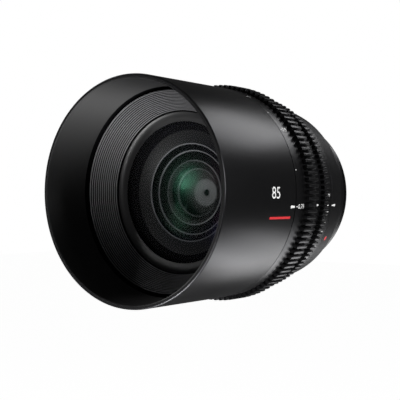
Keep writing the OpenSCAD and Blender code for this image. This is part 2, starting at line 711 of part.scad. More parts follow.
// flat crescent in the plane of the blade, pivot at the origin, drive pin along +X
module blade_flat() {
    mid = [blade_len / 2, -pivot_r * sin(blade_swing / 2)];
    h = blade_span / 2;
    far = 3 * pivot_r;
    difference() {
        intersection() {
            translate(mid) circle(r = iris_open_r + blade_w);
            translate(mid) polygon([[0, 0], [far * cos(90 - h), far * sin(90 - h)], [0, far],
                [far * cos(90 + h), far * sin(90 + h)]]);
        }
        translate(mid) circle(r = iris_open_r);
        translate([mid[0], mid[1] - blade_taper]) circle(r = iris_open_r + blade_taper - 0.25);
    }
    circle(r = blade_end_r, $fn = 32);
    translate([blade_len, 0]) circle(r = blade_end_r, $fn = 32);
}

// blade k at the smallest opening, pivot end forward, drive end to the rear
module iris_blade(k) {
    color("#6f7276") laid()
        rotate([0, 0, k * 360 / blade_n]) translate([pivot_r, 0, z(s_pivot)])
            rotate([0, 0, 180 - blade_swing / 2]) {
                rotate([0, blade_tilt, 0]) translate([0, 0, -blade_t]) linear_extrude(height = blade_t) blade_flat();
                translate([0, 0, -0.05]) cylinder(r = pin_r, h = s_pivot - s_base0 - 0.1, $fn = 32);
                translate([blade_len, 0, -blade_rise - (s_drive1 - s_drive0) - 0.35])
                    cylinder(r = drive_pin_r, h = s_drive1 - s_drive0 + 0.35, $fn = 32);
            }
}

front_barrel();
guide_tube();
barrel_screws();
rear_barrel();
rear_barrel_screws();
iris_retainer();
focus_stop_pin();
mount_tube();
mount_shim();
bayonet_mount();
mount_screws();
rear_baffle();
focus_ring();
cam_sleeve();
sleeve_screws();
block_tube();
ridged_front_ring();
front_cell();
front_retaining_ring();
front_element();
second_retaining_ring();
second_element();
third_retaining_ring();
third_element();
iris_housing();
iris_cover();
rear_cell();
rear_cell_screws();
fourth_element();
fourth_retaining_ring();
fifth_element();
rear_spacer();
sixth_element();
rear_retaining_ring();
follower_bushes();
follower_screws();
iris_ring();
iris_fork();
fork_screws();
iris_drive_ring();
iris_lever();
lever_screw();
iris_blade(0);  // iris_blade_1
iris_blade(1);  // iris_blade_2
iris_blade(2);  // iris_blade_3
iris_blade(3);  // iris_blade_4
iris_blade(4);  // iris_blade_5
iris_blade(5);  // iris_blade_6
iris_blade(6);  // iris_blade_7
iris_blade(7);  // iris_blade_8
iris_blade(8);  // iris_blade_9
iris_blade(9);  // iris_blade_10
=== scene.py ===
import math

import bmesh
import bpy
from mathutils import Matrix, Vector


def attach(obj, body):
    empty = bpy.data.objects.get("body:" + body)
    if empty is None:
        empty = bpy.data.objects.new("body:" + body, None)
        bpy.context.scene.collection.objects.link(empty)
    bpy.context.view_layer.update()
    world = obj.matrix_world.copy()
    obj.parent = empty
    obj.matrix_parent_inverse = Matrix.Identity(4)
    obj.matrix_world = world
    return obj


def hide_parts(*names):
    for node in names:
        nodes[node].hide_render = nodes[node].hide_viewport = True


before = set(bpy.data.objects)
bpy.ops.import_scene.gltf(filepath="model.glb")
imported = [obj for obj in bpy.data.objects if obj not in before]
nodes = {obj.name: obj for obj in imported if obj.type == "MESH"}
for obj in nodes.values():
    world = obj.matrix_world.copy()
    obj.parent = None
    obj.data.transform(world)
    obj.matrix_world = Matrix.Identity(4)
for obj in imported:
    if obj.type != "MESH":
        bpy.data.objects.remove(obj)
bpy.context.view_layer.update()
scene = bpy.context.scene
scene.view_settings.view_transform = "Standard"
mm = 0.001
flangeS = 112.0  # mm from the front rim back to the flange seat, which is y = 0
print("frame loaded:", len(nodes), "nodes")


def place(radius, s, degrees=0.0):
    # a point from its radius, its distance behind the front rim (mm) and its angle up from +X
    a = math.radians(degrees)
    return Vector((radius * math.cos(a), s - flangeS, radius * math.sin(a))) * mm


def linear(hexText):
    parts = [int(hexText[i:i + 2], 16) / 255 for i in (1, 3, 5)]
    return tuple(c / 12.92 if c <= 0.04045 else ((c + 0.055) / 1.055) ** 2.4 for c in parts) + (1.0,)


def addNode(tree, kind, inputs=None, **settings):
    node = tree.nodes.new(kind)
    for key, value in settings.items():
        setattr(node, key, value)
    for key, value in (inputs or {}).items():
        if isinstance(value, bpy.types.NodeSocket):
            tree.links.new(value, node.inputs[key])
        else:
            node.inputs[key].default_value = value
    return node


def newMaterial(name, inputs):
    material = bpy.data.materials.new(name)
    material.use_nodes = True
    shader = material.node_tree.nodes["Principled BSDF"]
    for key, value in inputs.items():
        shader.inputs[key].default_value = value
    return material, material.node_tree, shader


# camera: level with the axis, 36 degrees round from the front
cameraSettings = {"at": (0.2153, -0.3623, -0.0031), "look": (-0.588, 0.809, 0.0), "lensMm": 79.6}
cameraData = bpy.data.cameras.new("photoCamera")
cameraData.sensor_width = 36.0
cameraData.lens = cameraSettings["lensMm"]
cameraData.clip_start, cameraData.clip_end = 0.01, 20.0
camera = bpy.data.objects.new("photoCamera", cameraData)
camera.location = cameraSettings["at"]
camera.rotation_mode = "QUATERNION"
camera.rotation_quaternion = Vector(cameraSettings["look"]).to_track_quat("-Z", "Y")
scene.collection.objects.link(camera)
scene.camera = camera
print("camera set")

# studio: softboxes behind the lens above and below, two low ones for the hood, one on each side for
# the marks, two small ones on the left for the glass, a white sweep and a black tent that keeps the
# metal dark
studio = {
    "aim": (0.0, -0.07, 0.0),
    "floorZ": -0.5,
    "floorHalf": 6.0,
    "floorShade": "#EBEBEB",
    "floorGlow": 0.82,
    "diffuseWorld": 0.2,
    "curtain": {"radius": 0.78, "low": -0.48, "high": 0.66, "floorHole": 0.22, "holeBack": 0.05,
                "roofHole": 0.05, "sides": 48, "shade": "#4A4A4A"},
    "softboxes": {
        "upper": {"at": (0.195, 0.455, 0.400), "size": (0.30, 0.26), "level": 3.3},
        "lower": {"at": (0.160, 0.436, -0.345), "size": (0.40, 0.24), "level": 2.5},
        "lowerOuter": {"at": (0.235, 0.400, -0.470), "size": (0.36, 0.14), "level": 3.3},
        "hood": {"at": (-0.057, -0.365, -0.420), "size": (0.20, 0.20), "level": 28.0},
        "hoodRight": {"at": (0.028, -0.557, -0.274), "size": (0.16, 0.16), "level": 22.0},
        "side": {"at": (0.60, -0.06, 0.10), "size": (0.24, 0.24), "level": 12.0},
        "left": {"at": (-0.45, 0.0, 0.30), "size": (0.24, 0.24), "level": 6.0},
        "glassHigh": {"at": (-0.325, -0.644, 0.048), "size": (0.05, 0.04), "level": 60.0},
        "glassLow": {"at": (-0.354, -0.616, -0.092), "size": (0.045, 0.045), "level": 12.0},
    },
}


def softbox(name, settings):
    data = bpy.data.lights.new(name, "AREA")
    data.shape = "RECTANGLE"
    data.size, data.size_y = settings["size"]
    data.energy = settings["level"] * math.pi * data.size * data.size_y  # level is the panel's radiance
    lamp = bpy.data.objects.new(name, data)
    lamp.location = settings["at"]
    lamp.rotation_mode = "QUATERNION"
    towards = Vector(studio["aim"]) - Vector(settings["at"])
    lamp.rotation_quaternion = towards.to_track_quat("-Z", "Y")
    lamp.visible_camera = False
    scene.collection.objects.link(lamp)


def seenDirectly(tree):
    # 1 for rays that should see the white background: from the camera, a mirror surface or through glass
    path = addNode(tree, "ShaderNodeLightPath")
    seen = path.outputs["Is Camera Ray"]
    for ray in ("Is Glossy Ray", "Is Transmission Ray"):
        seen = addNode(tree, "ShaderNodeMath", {0: seen, 1: path.outputs[ray]}, operation="MAXIMUM").outputs[0]
    return seen


for boxName, boxSettings in studio["softboxes"].items():
    softbox(boxName + "Softbox", boxSettings)

world = bpy.data.worlds.new("studioWorld")
world.use_nodes = True
scene.world = world
worldTree = world.node_tree
background = worldTree.nodes["Background"]
background.inputs["Color"].default_value = (1.0, 1.0, 1.0, 1.0)
worldLevel = addNode(worldTree, "ShaderNodeMapRange", {
    "Value": seenDirectly(worldTree), "To Min": studio["diffuseWorld"], "To Max": 1.0})
worldTree.links.new(worldLevel.outputs[0], background.inputs["Strength"])

half = studio["floorHalf"]
floorCorners = [(x, y, studio["floorZ"]) for x, y in ((-half, -half), (half, -half), (half, half), (-half, half))]
floorMesh = bpy.data.meshes.new("floor")
floorMesh.from_pydata(floorCorners, [], [(0, 1, 2, 3)])
floor = bpy.data.objects.new("floor", floorMesh)
scene.collection.objects.link(floor)
floorMaterial, floorTree, floorShader = newMaterial("paper sweep, matt", {
    "Base Color": linear(studio["floorShade"]), "Roughness": 0.9, "Specular IOR Level": 0.0})
glowLevel = addNode(floorTree, "ShaderNodeMath", {0: seenDirectly(floorTree), 1: studio["floorGlow"]},
                    operation="MULTIPLY")
glow = addNode(floorTree, "ShaderNodeEmission", {"Color": (1, 1, 1, 1), "Strength": glowLevel.outputs[0]})
floorSum = addNode(floorTree, "ShaderNodeAddShader", {0: floorShader.outputs[0], 1: glow.outputs[0]})
floorTree.links.new(floorSum.outputs[0], floorTree.nodes["Material Output"].inputs["Surface"])
floorMesh.materials.append(floorMaterial)

curtain = studio["curtain"]
sides = curtain["sides"]
hoops = ((curtain["floorHole"], curtain["low"], curtain["holeBack"]), (curtain["radius"], curtain["low"], 0),
         (curtain["radius"], curtain["high"], 0), (curtain["roofHole"], curtain["high"], 0))
curtainVerts, curtainFaces = [], []
for k, (r, z, back) in enumerate(hoops):
    for i in range(sides):
        a = i * 2 * math.pi / sides
        curtainVerts.append((r * math.cos(a), back + r * math.sin(a), z))
        if k:
            below, after = sides * (k - 1), (i + 1) % sides
            curtainFaces.append((below + i, below + after, below + sides + after, below + sides + i))
curtainMesh = bpy.data.meshes.new("curtain")
curtainMesh.from_pydata(curtainVerts, [], curtainFaces)
curtainObject = bpy.data.objects.new("curtain", curtainMesh)
scene.collection.objects.link(curtainObject)
curtainMesh.materials.append(newMaterial("black velvet curtain", {
    "Base Color": linear(curtain["shade"]), "Roughness": 1.0, "Specular IOR Level": 0.0})[0])
curtainObject.visible_camera = False
curtainObject.visible_diffuse = False
curtainObject.visible_shadow = False
print("studio built")


def objectPlace(tree):
    return addNode(tree, "ShaderNodeTexCoord").outputs["Object"]


def axisPlace(tree):
    # the place along the axis, the place across it and the distance from it
    where = addNode(tree, "ShaderNodeSeparateXYZ", {0: objectPlace(tree)})
    flat = addNode(tree, "ShaderNodeCombineXYZ", {0: where.outputs[0], 1: where.outputs[2]})
    radius = addNode(tree, "ShaderNodeVectorMath", {0: flat.outputs[0]}, operation="LENGTH")
    return where.outputs[1], flat.outputs[0], radius.outputs["Value"]


def noise(tree, sizeMm, detail, where=None):
    return addNode(tree, "ShaderNodeTexNoise", {
        "Vector": where or objectPlace(tree), "Scale": 1 / (sizeMm * mm), "Detail": detail}).outputs["Fac"]


def mapRange(tree, value, fromMin, fromMax, toMin=0.0, toMax=1.0, **settings):
    return addNode(tree, "ShaderNodeMapRange", {
        "Value": value, "From Min": fromMin, "From Max": fromMax, "To Min": toMin, "To Max": toMax},
        **settings).outputs[0]


noiseLow, noiseHigh = 0.3, 0.7  # most of a noise lies between these


def blend(tree, value, lowShade, highShade, low=0.0, high=1.0):
    ramp = addNode(tree, "ShaderNodeValToRGB", {0: value})
    first, last = ramp.color_ramp.elements
    first.position, first.color = low, linear(lowShade)
    last.position, last.color = high, linear(highShade)
    return ramp.outputs[0]


def roughen(tree, shader, value, low, high):
    tree.links.new(mapRange(tree, value, noiseLow, noiseHigh, low, high), shader.inputs["Roughness"])


def emboss(tree, shader, height, strength, depthMm):
    bump = addNode(tree, "ShaderNodeBump", {"Height": height, "Strength": strength, "Distance": depthMm * mm})
    tree.links.new(bump.outputs[0], shader.inputs["Normal"])


# black anodised aluminium, bead blasted: a dark satin metal whose fine grain only softens the highlight
# the grain, 0.1 mm on the real thing, is drawn at 0.5 mm so that it shows
def anodised(name, shade, roughness, grainMm=0.5, bumpStrength=0.05):
    material, tree, shader = newMaterial(name, {"Metallic": 0.95, "Base Color": linear(shade)})
    grain = noise(tree, grainMm, 2.0)
    roughen(tree, shader, grain, roughness - 0.03, roughness + 0.03)
    emboss(tree, shader, grain, bumpStrength, 0.05)
    return material


# turned metal: lathe lines run round the axis, so the noise follows the radius and the length only
def turnedMetal(name, shade, darkShade, roughness, lineMm=0.12, shadedEdgeMm=0, paintedShadeHex="#2B2B2D"):
    material, tree, shader = newMaterial(name, {"Metallic": 1.0})
    length, flat, radius = axisPlace(tree)
    along = addNode(tree, "ShaderNodeMath", {0: radius, 1: length}, operation="ADD")
    lines = addNode(tree, "ShaderNodeTexNoise", {
        "W": along.outputs[0], "Scale": 1 / (lineMm * mm), "Detail": 3.0}, noise_dimensions="1D").outputs["Fac"]
    colour = blend(tree, lines, darkShade, shade, noiseLow, noiseHigh)
    if shadedEdgeMm:  # beyond this radius the plate is painted dark, a painted shade that hides its reflection there
        shadedPart = addNode(tree, "ShaderNodeMath", {0: radius, 1: shadedEdgeMm * mm}, operation="GREATER_THAN")
        colour = addNode(tree, "ShaderNodeMix", {0: shadedPart.outputs[0], 6: colour, 7: linear(paintedShadeHex)},
                         data_type="RGBA").outputs[2]
    tree.links.new(colour, shader.inputs["Base Color"])
    roughen(tree, shader, lines, roughness + 0.06, roughness - 0.04)
    emboss(tree, shader, lines, 0.12, 0.02)
    return material


# matt black anodising or spray: mostly diffuse with a faint sheen, slightly mottled; lathe lines that are
# too fine to draw spread the sheen along the axis
def mattBlack(name, shade, paleShade, roughness, sheen, turned=0.0, grainMm=0.4):
    material, tree, shader = newMaterial(name, {"Metallic": 0.0, "Specular IOR Level": sheen,
                                                "Anisotropic": turned, "Anisotropic Rotation": 0.25})
    if turned:
        lines = addNode(tree, "ShaderNodeTangent", direction_type="RADIAL", axis="Y")
        tree.links.new(lines.outputs[0], shader.inputs["Tangent"])
    grain = noise(tree, grainMm, 3.0)
    tree.links.new(blend(tree, grain, shade, paleShade, noiseLow, noiseHigh), shader.inputs["Base Color"])
    roughen(tree, shader, grain, roughness - 0.04, roughness + 0.04)
    return material


# multicoated optical glass: clear, with a weak tinted reflection; the IOR is matched to the coated
# surface, which reflects under one per cent, and the roughness to the soft spots that small lamps leave in it
def coatedGlass(name, tint, ior, roughness, rimTint=None, innerMm=0, outerMm=0, smearMm=9):
    material, tree, shader = newMaterial(name, {
        "Base Color": linear("#FAFCFB"), "IOR": ior, "Transmission Weight": 1.0, "Specular Tint": linear(tint)})
    if rimTint:  # the coating is thinner towards the rim, so its colour shifts there
        length, flat, radius = axisPlace(tree)
        share = mapRange(tree, radius, innerMm * mm, outerMm * mm)
        tree.links.new(blend(tree, share, tint, rimTint), shader.inputs["Specular Tint"])
    roughen(tree, shader, noise(tree, smearMm, 1.0), roughness - 0.01, roughness + 0.01)
    return material


# blackened spring steel, matt; painted paler near the axis as a painted pool of light, and dark further out as
# painted shade
def bladeWithPaintedPool(name, litTipShade, shadedRootShade, tipMm, rootMm, poolEdgeNoiseMm=0.8, unevenMm=0.4):
    material, tree, shader = newMaterial(name, {"Metallic": 0.0, "Roughness": 0.5, "Specular IOR Level": 0.3})
    length, flat, radius = axisPlace(tree)
    poolEdgeNoise = noise(tree, poolEdgeNoiseMm, 2.0, flat)
    uneven = addNode(tree, "ShaderNodeMath", {0: poolEdgeNoise, 1: unevenMm * mm, 2: radius}, operation="MULTIPLY_ADD")
    # this share is 0 in the painted pool of light near the axis and 1 in the painted shade further out; the noise
    # makes the pool's edge uneven
    shadeShare = mapRange(tree, uneven.outputs[0], tipMm * mm, rootMm * mm, interpolation_type="SMOOTHSTEP")
    tree.links.new(blend(tree, shadeShare, litTipShade, shadedRootShade), shader.inputs["Base Color"])
    return material


# paint rubbed into engraved marks: matt and slightly uneven
def fillPaint(name, shade, dullShade, patchMm=0.5):
    material, tree, shader = newMaterial(name, {"Roughness": 0.6})
    patch = noise(tree, patchMm, 2.0)
    tree.links.new(blend(tree, patch, dullShade, shade, noiseLow, 0.6), shader.inputs["Base Color"])
    return material


barrelBlack = anodised("black anodised aluminium, bead blasted", "#39393B", 0.32)
rearBlack = anodised("black anodised aluminium, fine blasted", "#2B2B2D", 0.42, 0.4, 0.04)
gearBlack = anodised("black anodised aluminium, hobbed", "#39393B", 0.36, 0.35, 0.03)
hoodBlack = mattBlack("black anodised aluminium, matt inside", "#0B0B0C", "#0F0F10", 0.7, 0.5, 0.9)
rimBlack = mattBlack("black anodised aluminium, turned rim", "#0A0A0B", "#0E0E0F", 0.5, 0.15)
ridgeBlack = anodised("black anodised aluminium, ridged", "#747476", 0.45, 0.3, 0.03)
bezelBlack = mattBlack("black anodised aluminium, turned bezel", "#0A0A0B", "#0E0E0F", 0.42, 0.4)
cellBlack = mattBlack("black anodised aluminium, turned cell", "#060607", "#0A0A0B", 0.7, 0.03)
ringBlack = mattBlack("black anodised aluminium, turned ring", "#0A0A0B", "#0E0E0F", 0.4, 0.12)
coneBlack = mattBlack("black anodised aluminium, turned cone", "#0A0A0B", "#0E0E0F", 0.36, 0.3)
# pale edge colour: a painted highlight that draws the thin bright circles round the glass
paleEdgeHighlight = mattBlack("black anodised aluminium, edge painted pale as a highlight", "#5C5C60", "#66666A", 0.5, 0.5)
bareAluminium = turnedMetal("aluminium, turned bare", "#C9CBCE", "#AEB1B5", 0.32)
turnedBrass = turnedMetal("brass, turned", "#C9A860", "#B08F4A", 0.3)
blackBrass = turnedMetal("brass, turned, blackened", "#1A1917", "#131211", 0.42)
# the plate beyond 33.6 mm is painted dark as painted shade, so that it shows no bright reflection there
satinChrome = turnedMetal("brass, satin chrome plated, edge in painted shade", "#C4C6C8", "#AFB2B5", 0.28,
                          lineMm=0.2, shadedEdgeMm=33.6)
screwSteel = anodised("steel, black oxide", "#6A6B6E", 0.34, 0.3, 0.03)
# the blades' pale centre is a painted pool of light, and their dark outer zone is painted shade
bladeSteel = bladeWithPaintedPool("spring steel, blackened matt, painted pool of light", "#5A5A5C", "#0C0C0D", 5.3, 5.9)
whitePaint = fillPaint("white enamel, rubbed into engraving", "#FFFFFF", "#F0F0EE")
redPaint = fillPaint("red enamel, rubbed into engraving", "#E0202A", "#C81820")
glassFinish = {
    "front_element": coatedGlass("coated glass, green to blue reflection", "#58E0AC", 1.16, 0.17,
                                 rimTint="#6070E0", innerMm=15, outerMm=22),
    "second_element": coatedGlass("coated glass, magenta reflection", "#A84878", 1.05, 0.16),
    "third_element": coatedGlass("coated glass, blue reflection", "#405890", 1.03, 0.15),
    "fourth_element": coatedGlass("coated glass, green reflection", "#60C080", 1.03, 0.15),
    "fifth_element": coatedGlass("coated glass, violet reflection", "#9070C8", 1.03, 0.15),
    "sixth_element": coatedGlass("coated glass, pale green reflection", "#70C8A0", 1.1, 0.15),
}
nodeFinish = {
    "rear_barrel": rearBlack, "mount_tube": rearBlack,
    "guide_tube": bareAluminium, "iris_retainer": bareAluminium, "iris_fork": bareAluminium,
    "iris_drive_ring": bareAluminium, "iris_lever": bareAluminium,
    "cam_sleeve": blackBrass, "follower_bushes": turnedBrass, "mount_shim": blackBrass,
    "bayonet_mount": satinChrome, "focus_stop_pin": screwSteel,
}
nodeFinish.update(glassFinish)
for name, node in nodes.items():
    finish = nodeFinish.get(name)
    if finish is None:
        finish = screwSteel if "screw" in name else bladeSteel if "blade" in name else cellBlack
    node.data.materials.clear()
    node.data.materials.append(finish)
    if name in glassFinish:  # light passes straight through to the cells behind
        node.visible_shadow = False
        node.visible_diffuse = False
        node.visible_glossy = False
print("finishes made")


sharpAngle = math.radians(32)


# shapes turned on a lathe: closed outlines of (radius, s, corner rounding) in mm
def roundedOutline(outline, steps=4):
    result, corners = [], []  # the corner that each point belongs to, or -1
    for i, (r, s, rounding) in enumerate(outline):
        here = Vector((r, s))
        before = Vector(outline[i - 1][:2]) - here
        after = Vector(outline[(i + 1) % len(outline)][:2]) - here
        if rounding <= 0:
            result.append(here)
            corners.append(-1)
            continue
        corner = before.angle(after)
        reach = min(rounding / math.tan(corner / 2), 0.45 * before.length, 0.45 * after.length)
        first, last = here + before.normalized() * reach, here + after.normalized() * reach
        for k in range(steps + 1):
            t = k / steps
            result.append((1 - t) ** 2 * first + 2 * t * (1 - t) * here + t ** 2 * last)
            corners.append(i)
    return result, corners


def lathe(name, outline, finishes, pick=None, sides=240, rubbed=1.0):
    # pick chooses a finish by radius and s; corners rounder than rubbed take the last finish, which on the cell
    # rings is the pale edge colour, a painted highlight
    points, corners = roundedOutline(outline)
    shape = bmesh.new()
    rings = [[shape.verts.new(place(p.x, p.y, 360 * k / sides)) for k in range(sides)] for p in points]
    for i, ring in enumerate(rings):
        j = (i + 1) % len(rings)
        following = rings[j]
        middle = (points[i] + points[j]) / 2
        chosen = pick(middle.x, middle.y) if pick else 0
        if corners[i] >= 0 and corners[i] == corners[j] and outline[corners[i]][2] > rubbed:
            chosen = len(finishes) - 1
        for k in range(sides):
            face = shape.faces.new((ring[k], ring[(k + 1) % sides], following[(k + 1) % sides], following[k]))
            face.smooth = True
            face.material_index = chosen
    bmesh.ops.recalc_face_normals(shape, faces=shape.faces)
    return finishMesh(name, shape, finishes)


def finishMesh(name, shape, finishes):
    mesh = bpy.data.meshes.new(name)
    shape.to_mesh(mesh)
    shape.free()
    mesh.set_sharp_from_angle(angle=sharpAngle)
    for finish in finishes:
        mesh.materials.append(finish)
    piece = bpy.data.objects.new(name, mesh)
    scene.collection.objects.link(piece)
    return piece


# Geometry Nodes: copies of one shape set round the axis, at the angles of the points of the base mesh;
# faces that look forwards take a second finish, on the gear teeth a darker matt black as painted shade on the
# tooth ends
def buildRoundRowTree():
    tree = bpy.data.node_groups.new("rowRoundAxis", "GeometryNodeTree")
    for label, kind in (("Geometry", "NodeSocketGeometry"), ("Shape", "NodeSocketObject"),
                        ("Finish", "NodeSocketMaterial"), ("Front Shade Finish", "NodeSocketMaterial")):
        tree.interface.new_socket(label, in_out="INPUT", socket_type=kind)
    tree.interface.new_socket("Geometry", in_out="OUTPUT", socket_type="NodeSocketGeometry")
    start = addNode(tree, "NodeGroupInput")
    where = addNode(tree, "GeometryNodeInputPosition")
    parts = addNode(tree, "ShaderNodeSeparateXYZ", {0: where.outputs[0]})
    angle = addNode(tree, "ShaderNodeMath", {0: parts.outputs[2], 1: parts.outputs[0]}, operation="ARCTAN2")
    turn = addNode(tree, "ShaderNodeMath", {0: angle.outputs[0], 1: -1.0}, operation="MULTIPLY")
    euler = addNode(tree, "ShaderNodeCombineXYZ", {1: turn.outputs[0]})
    rotation = addNode(tree, "FunctionNodeEulerToRotation", {0: euler.outputs[0]})
    points = addNode(tree, "GeometryNodeMeshToPoints", {"Mesh": start.outputs["Geometry"]})
    axis = addNode(tree, "ShaderNodeCombineXYZ")
    centred = addNode(tree, "GeometryNodeSetPosition", {"Position": axis.outputs[0]})
    held = addNode(tree, "GeometryNodeCaptureAttribute", {"Geometry": points.outputs[0]})
    held.capture_items.new("ROTATION", "Turn")
    tree.links.new(rotation.outputs[0], held.inputs["Turn"])
    tree.links.new(held.outputs["Geometry"], centred.inputs["Geometry"])
    source = addNode(tree, "GeometryNodeObjectInfo", {"Object": start.outputs["Shape"]})
    row = addNode(tree, "GeometryNodeInstanceOnPoints", {
        "Points": centred.outputs[0], "Instance": source.outputs["Geometry"], "Rotation": held.outputs["Turn"]})
    real = addNode(tree, "GeometryNodeRealizeInstances", {0: row.outputs[0]})
    painted = addNode(tree, "GeometryNodeSetMaterial", {"Geometry": real.outputs[0],
                                                        "Material": start.outputs["Finish"]})
    facing = addNode(tree, "ShaderNodeSeparateXYZ", {0: addNode(tree, "GeometryNodeInputNormal").outputs[0]})
    forwards = addNode(tree, "ShaderNodeMath", {0: facing.outputs[1], 1: -0.5}, operation="LESS_THAN")
    frontShaded = addNode(tree, "GeometryNodeSetMaterial", {
        "Geometry": painted.outputs[0], "Selection": forwards.outputs[0], "Material": start.outputs["Front Shade Finish"]})
    addNode(tree, "NodeGroupOutput", {0: frontShaded.outputs[0]})
    return tree


# Geometry Nodes: round ridges that follow a cone
def buildRidgeTree():
    tree = bpy.data.node_groups.new("ridgesOnCone", "GeometryNodeTree")
    for label, kind in (("Geometry", "NodeSocketGeometry"), ("Count", "NodeSocketInt"),
                        ("First Radius", "NodeSocketFloat"), ("Last Radius", "NodeSocketFloat"),
                        ("First Y", "NodeSocketFloat"), ("Last Y", "NodeSocketFloat"),
                        ("Ridge Radius", "NodeSocketFloat"), ("Finish", "NodeSocketMaterial")):
        tree.interface.new_socket(label, in_out="INPUT", socket_type=kind)
    tree.interface.new_socket("Geometry", in_out="OUTPUT", socket_type="NodeSocketGeometry")
    start = addNode(tree, "NodeGroupInput")
    index = addNode(tree, "GeometryNodeInputIndex")
    last = addNode(tree, "ShaderNodeMath", {0: start.outputs["Count"], 1: 1.0}, operation="SUBTRACT")
    radius = addNode(tree, "ShaderNodeMapRange", {
        "Value": index.outputs[0], "From Max": last.outputs[0], "To Min": start.outputs["First Radius"],
        "To Max": start.outputs["Last Radius"]})
    depth = addNode(tree, "ShaderNodeMapRange", {
        "Value": index.outputs[0], "From Max": last.outputs[0], "To Min": start.outputs["First Y"],
        "To Max": start.outputs["Last Y"]})
    position = addNode(tree, "ShaderNodeCombineXYZ", {1: depth.outputs[0]})
    points = addNode(tree, "GeometryNodePoints", {"Count": start.outputs["Count"],
                                                  "Position": position.outputs[0]})
    circle = addNode(tree, "GeometryNodeCurvePrimitiveCircle", {"Resolution": 180, "Radius": 1.0})
    upright = addNode(tree, "GeometryNodeTransform", {"Geometry": circle.outputs[0],
                                                      "Rotation": (math.pi / 2, 0.0, 0.0)})
    rings = addNode(tree, "GeometryNodeInstanceOnPoints", {
        "Points": points.outputs[0], "Instance": upright.outputs[0], "Scale": radius.outputs[0]})
    paths = addNode(tree, "GeometryNodeRealizeInstances", {0: rings.outputs[0]})
    section = addNode(tree, "GeometryNodeCurvePrimitiveCircle", {"Resolution": 8,
                                                                 "Radius": start.outputs["Ridge Radius"]})
    ridges = addNode(tree, "GeometryNodeCurveToMesh", {"Curve": paths.outputs[0],
                                                       "Profile Curve": section.outputs[0]})
    smooth = addNode(tree, "GeometryNodeSetShadeSmooth", {"Geometry": ridges.outputs[0]})
    painted = addNode(tree, "GeometryNodeSetMaterial", {"Geometry": smooth.outputs[0],
                                                        "Material": start.outputs["Finish"]})
    addNode(tree, "NodeGroupOutput", {0: painted.outputs[0]})
    return tree


roundRowTree = buildRoundRowTree()
ridgeTree = buildRidgeTree()


def growMesh(name, points, tree, values):
    # runs a tree on a mesh of loose points and returns the plain mesh
    base = bpy.data.meshes.new(name + "Points")
    base.from_pydata(points, [], [])
    holder = bpy.data.objects.new(name + "Points", base)
    scene.collection.objects.link(holder)
    modifier = holder.modifiers.new("grow", "NODES")
    modifier.node_group = tree
    for item in tree.interface.items_tree:
        if item.in_out == "INPUT" and item.name in values:
            modifier[item.identifier] = values[item.name]
    graph = bpy.context.evaluated_depsgraph_get()
    mesh = bpy.data.meshes.new_from_object(holder.evaluated_get(graph))
    bpy.data.objects.remove(holder)
    return mesh


def roundRow(name, shape, angles, finish, frontShadeFinish):
    # only the angle of each point counts
    mesh = growMesh(name, [place(40, 60, a) for a in angles], roundRowTree,
                    {"Shape": shape, "Finish": finish, "Front Shade Finish": frontShadeFinish})
    bpy.data.objects.remove(shape)
    return mesh


def joinMesh(piece, extra):
    # adds a second mesh to a piece, keeping its finish
    offset = len(piece.data.materials)
    shape = bmesh.new()
    shape.from_mesh(piece.data)
    known = len(shape.faces)
    shape.from_mesh(extra)
    shape.faces.ensure_lookup_table()
    for face in shape.faces[known:]:
        face.material_index += offset
    shape.to_mesh(piece.data)
    shape.free()
    for finish in extra.materials:
        piece.data.materials.append(finish)
    piece.data.set_sharp_from_angle(angle=sharpAngle)


# a gear tooth along +X with its tip edges and ends rounded; in mm, its foot goes into the ring by sunk,
# is wider by spread and stays sharp up to clear
footSettings = {"sunk": 0.4, "spread": 0.1, "clear": 0.45}


def gearTooth(settings):
    shape = bmesh.new()
    root, tip = settings["rootR"] - footSettings["sunk"], settings["tipR"]
    rootHalf, tipHalf = settings["rootHalf"] + footSettings["spread"], settings["tipHalf"]
    near = [(root, -rootHalf), (tip, -tipHalf), (tip, tipHalf), (root, rootHalf)]
    front = [shape.verts.new(Vector((x, settings["s0"] - flangeS, z)) * mm) for x, z in near]
    back = [shape.verts.new(Vector((x, settings["s1"] - flangeS, z)) * mm) for x, z in near]
    shape.faces.new(front)
    shape.faces.new(list(reversed(back)))
    for k in range(4):
        shape.faces.new((front[k], back[k], back[(k + 1) % 4], front[(k + 1) % 4]))
    sharpBelow = (root + footSettings["clear"]) * mm
    edges = [e for e in shape.edges if sum(v.co.x for v in e.verts) / 2 > sharpBelow]
    bmesh.ops.bevel(shape, geom=edges, offset=settings["rounding"] * mm, segments=2, profile=0.5, affect="EDGES")
    bmesh.ops.recalc_face_normals(shape, faces=shape.faces)
    for face in shape.faces:
        face.smooth = True
    return finishMesh("gearTooth", shape, [gearBlack])


def toothRow(name, settings):
    angles = [360 * k / settings["teeth"] for k in range(settings["teeth"])]
    # the tooth ends that face forwards take the darkest matt black, painted shade
    return roundRow(name, gearTooth(settings["tooth"]), angles, gearBlack, cellBlack)


frontBarrelSettings = {
    "outline": [(44, 0, 0.6), (44, 48.65, 0.1), (43.65, 49, 0.1), (41.02, 49, 0),
                (41.02, 47.2, 0), (37.7, 47.2, 0), (37.7, 45.6, 0), (41.75, 45.6, 0), (41.75, 21, 0),
                (41.29, 20.9, 0.05), (42.3, 3, 0.5), (42.3, 0, 0.45)],
    "outerR": 43.6, "rimR": 42.75, "wallS": 20.95, "seamS": 48.62,
}


def frontBarrelFinish(r, s):
    if s > frontBarrelSettings["seamS"]:
        return 3
    if r > frontBarrelSettings["outerR"]:
        return 0
    # behind the end of the hood wall the bore takes the darkest matt black: matt black inside, and darker than the
    # wall as painted shade in the gap
    if s > frontBarrelSettings["wallS"]:
        return 3
    return 2 if r > frontBarrelSettings["rimR"] else 1


frontBarrel = lathe("frontBarrel", frontBarrelSettings["outline"],
                    [barrelBlack, hoodBlack, rimBlack, cellBlack], frontBarrelFinish)
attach(frontBarrel, "barrel")
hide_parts("front_barrel")

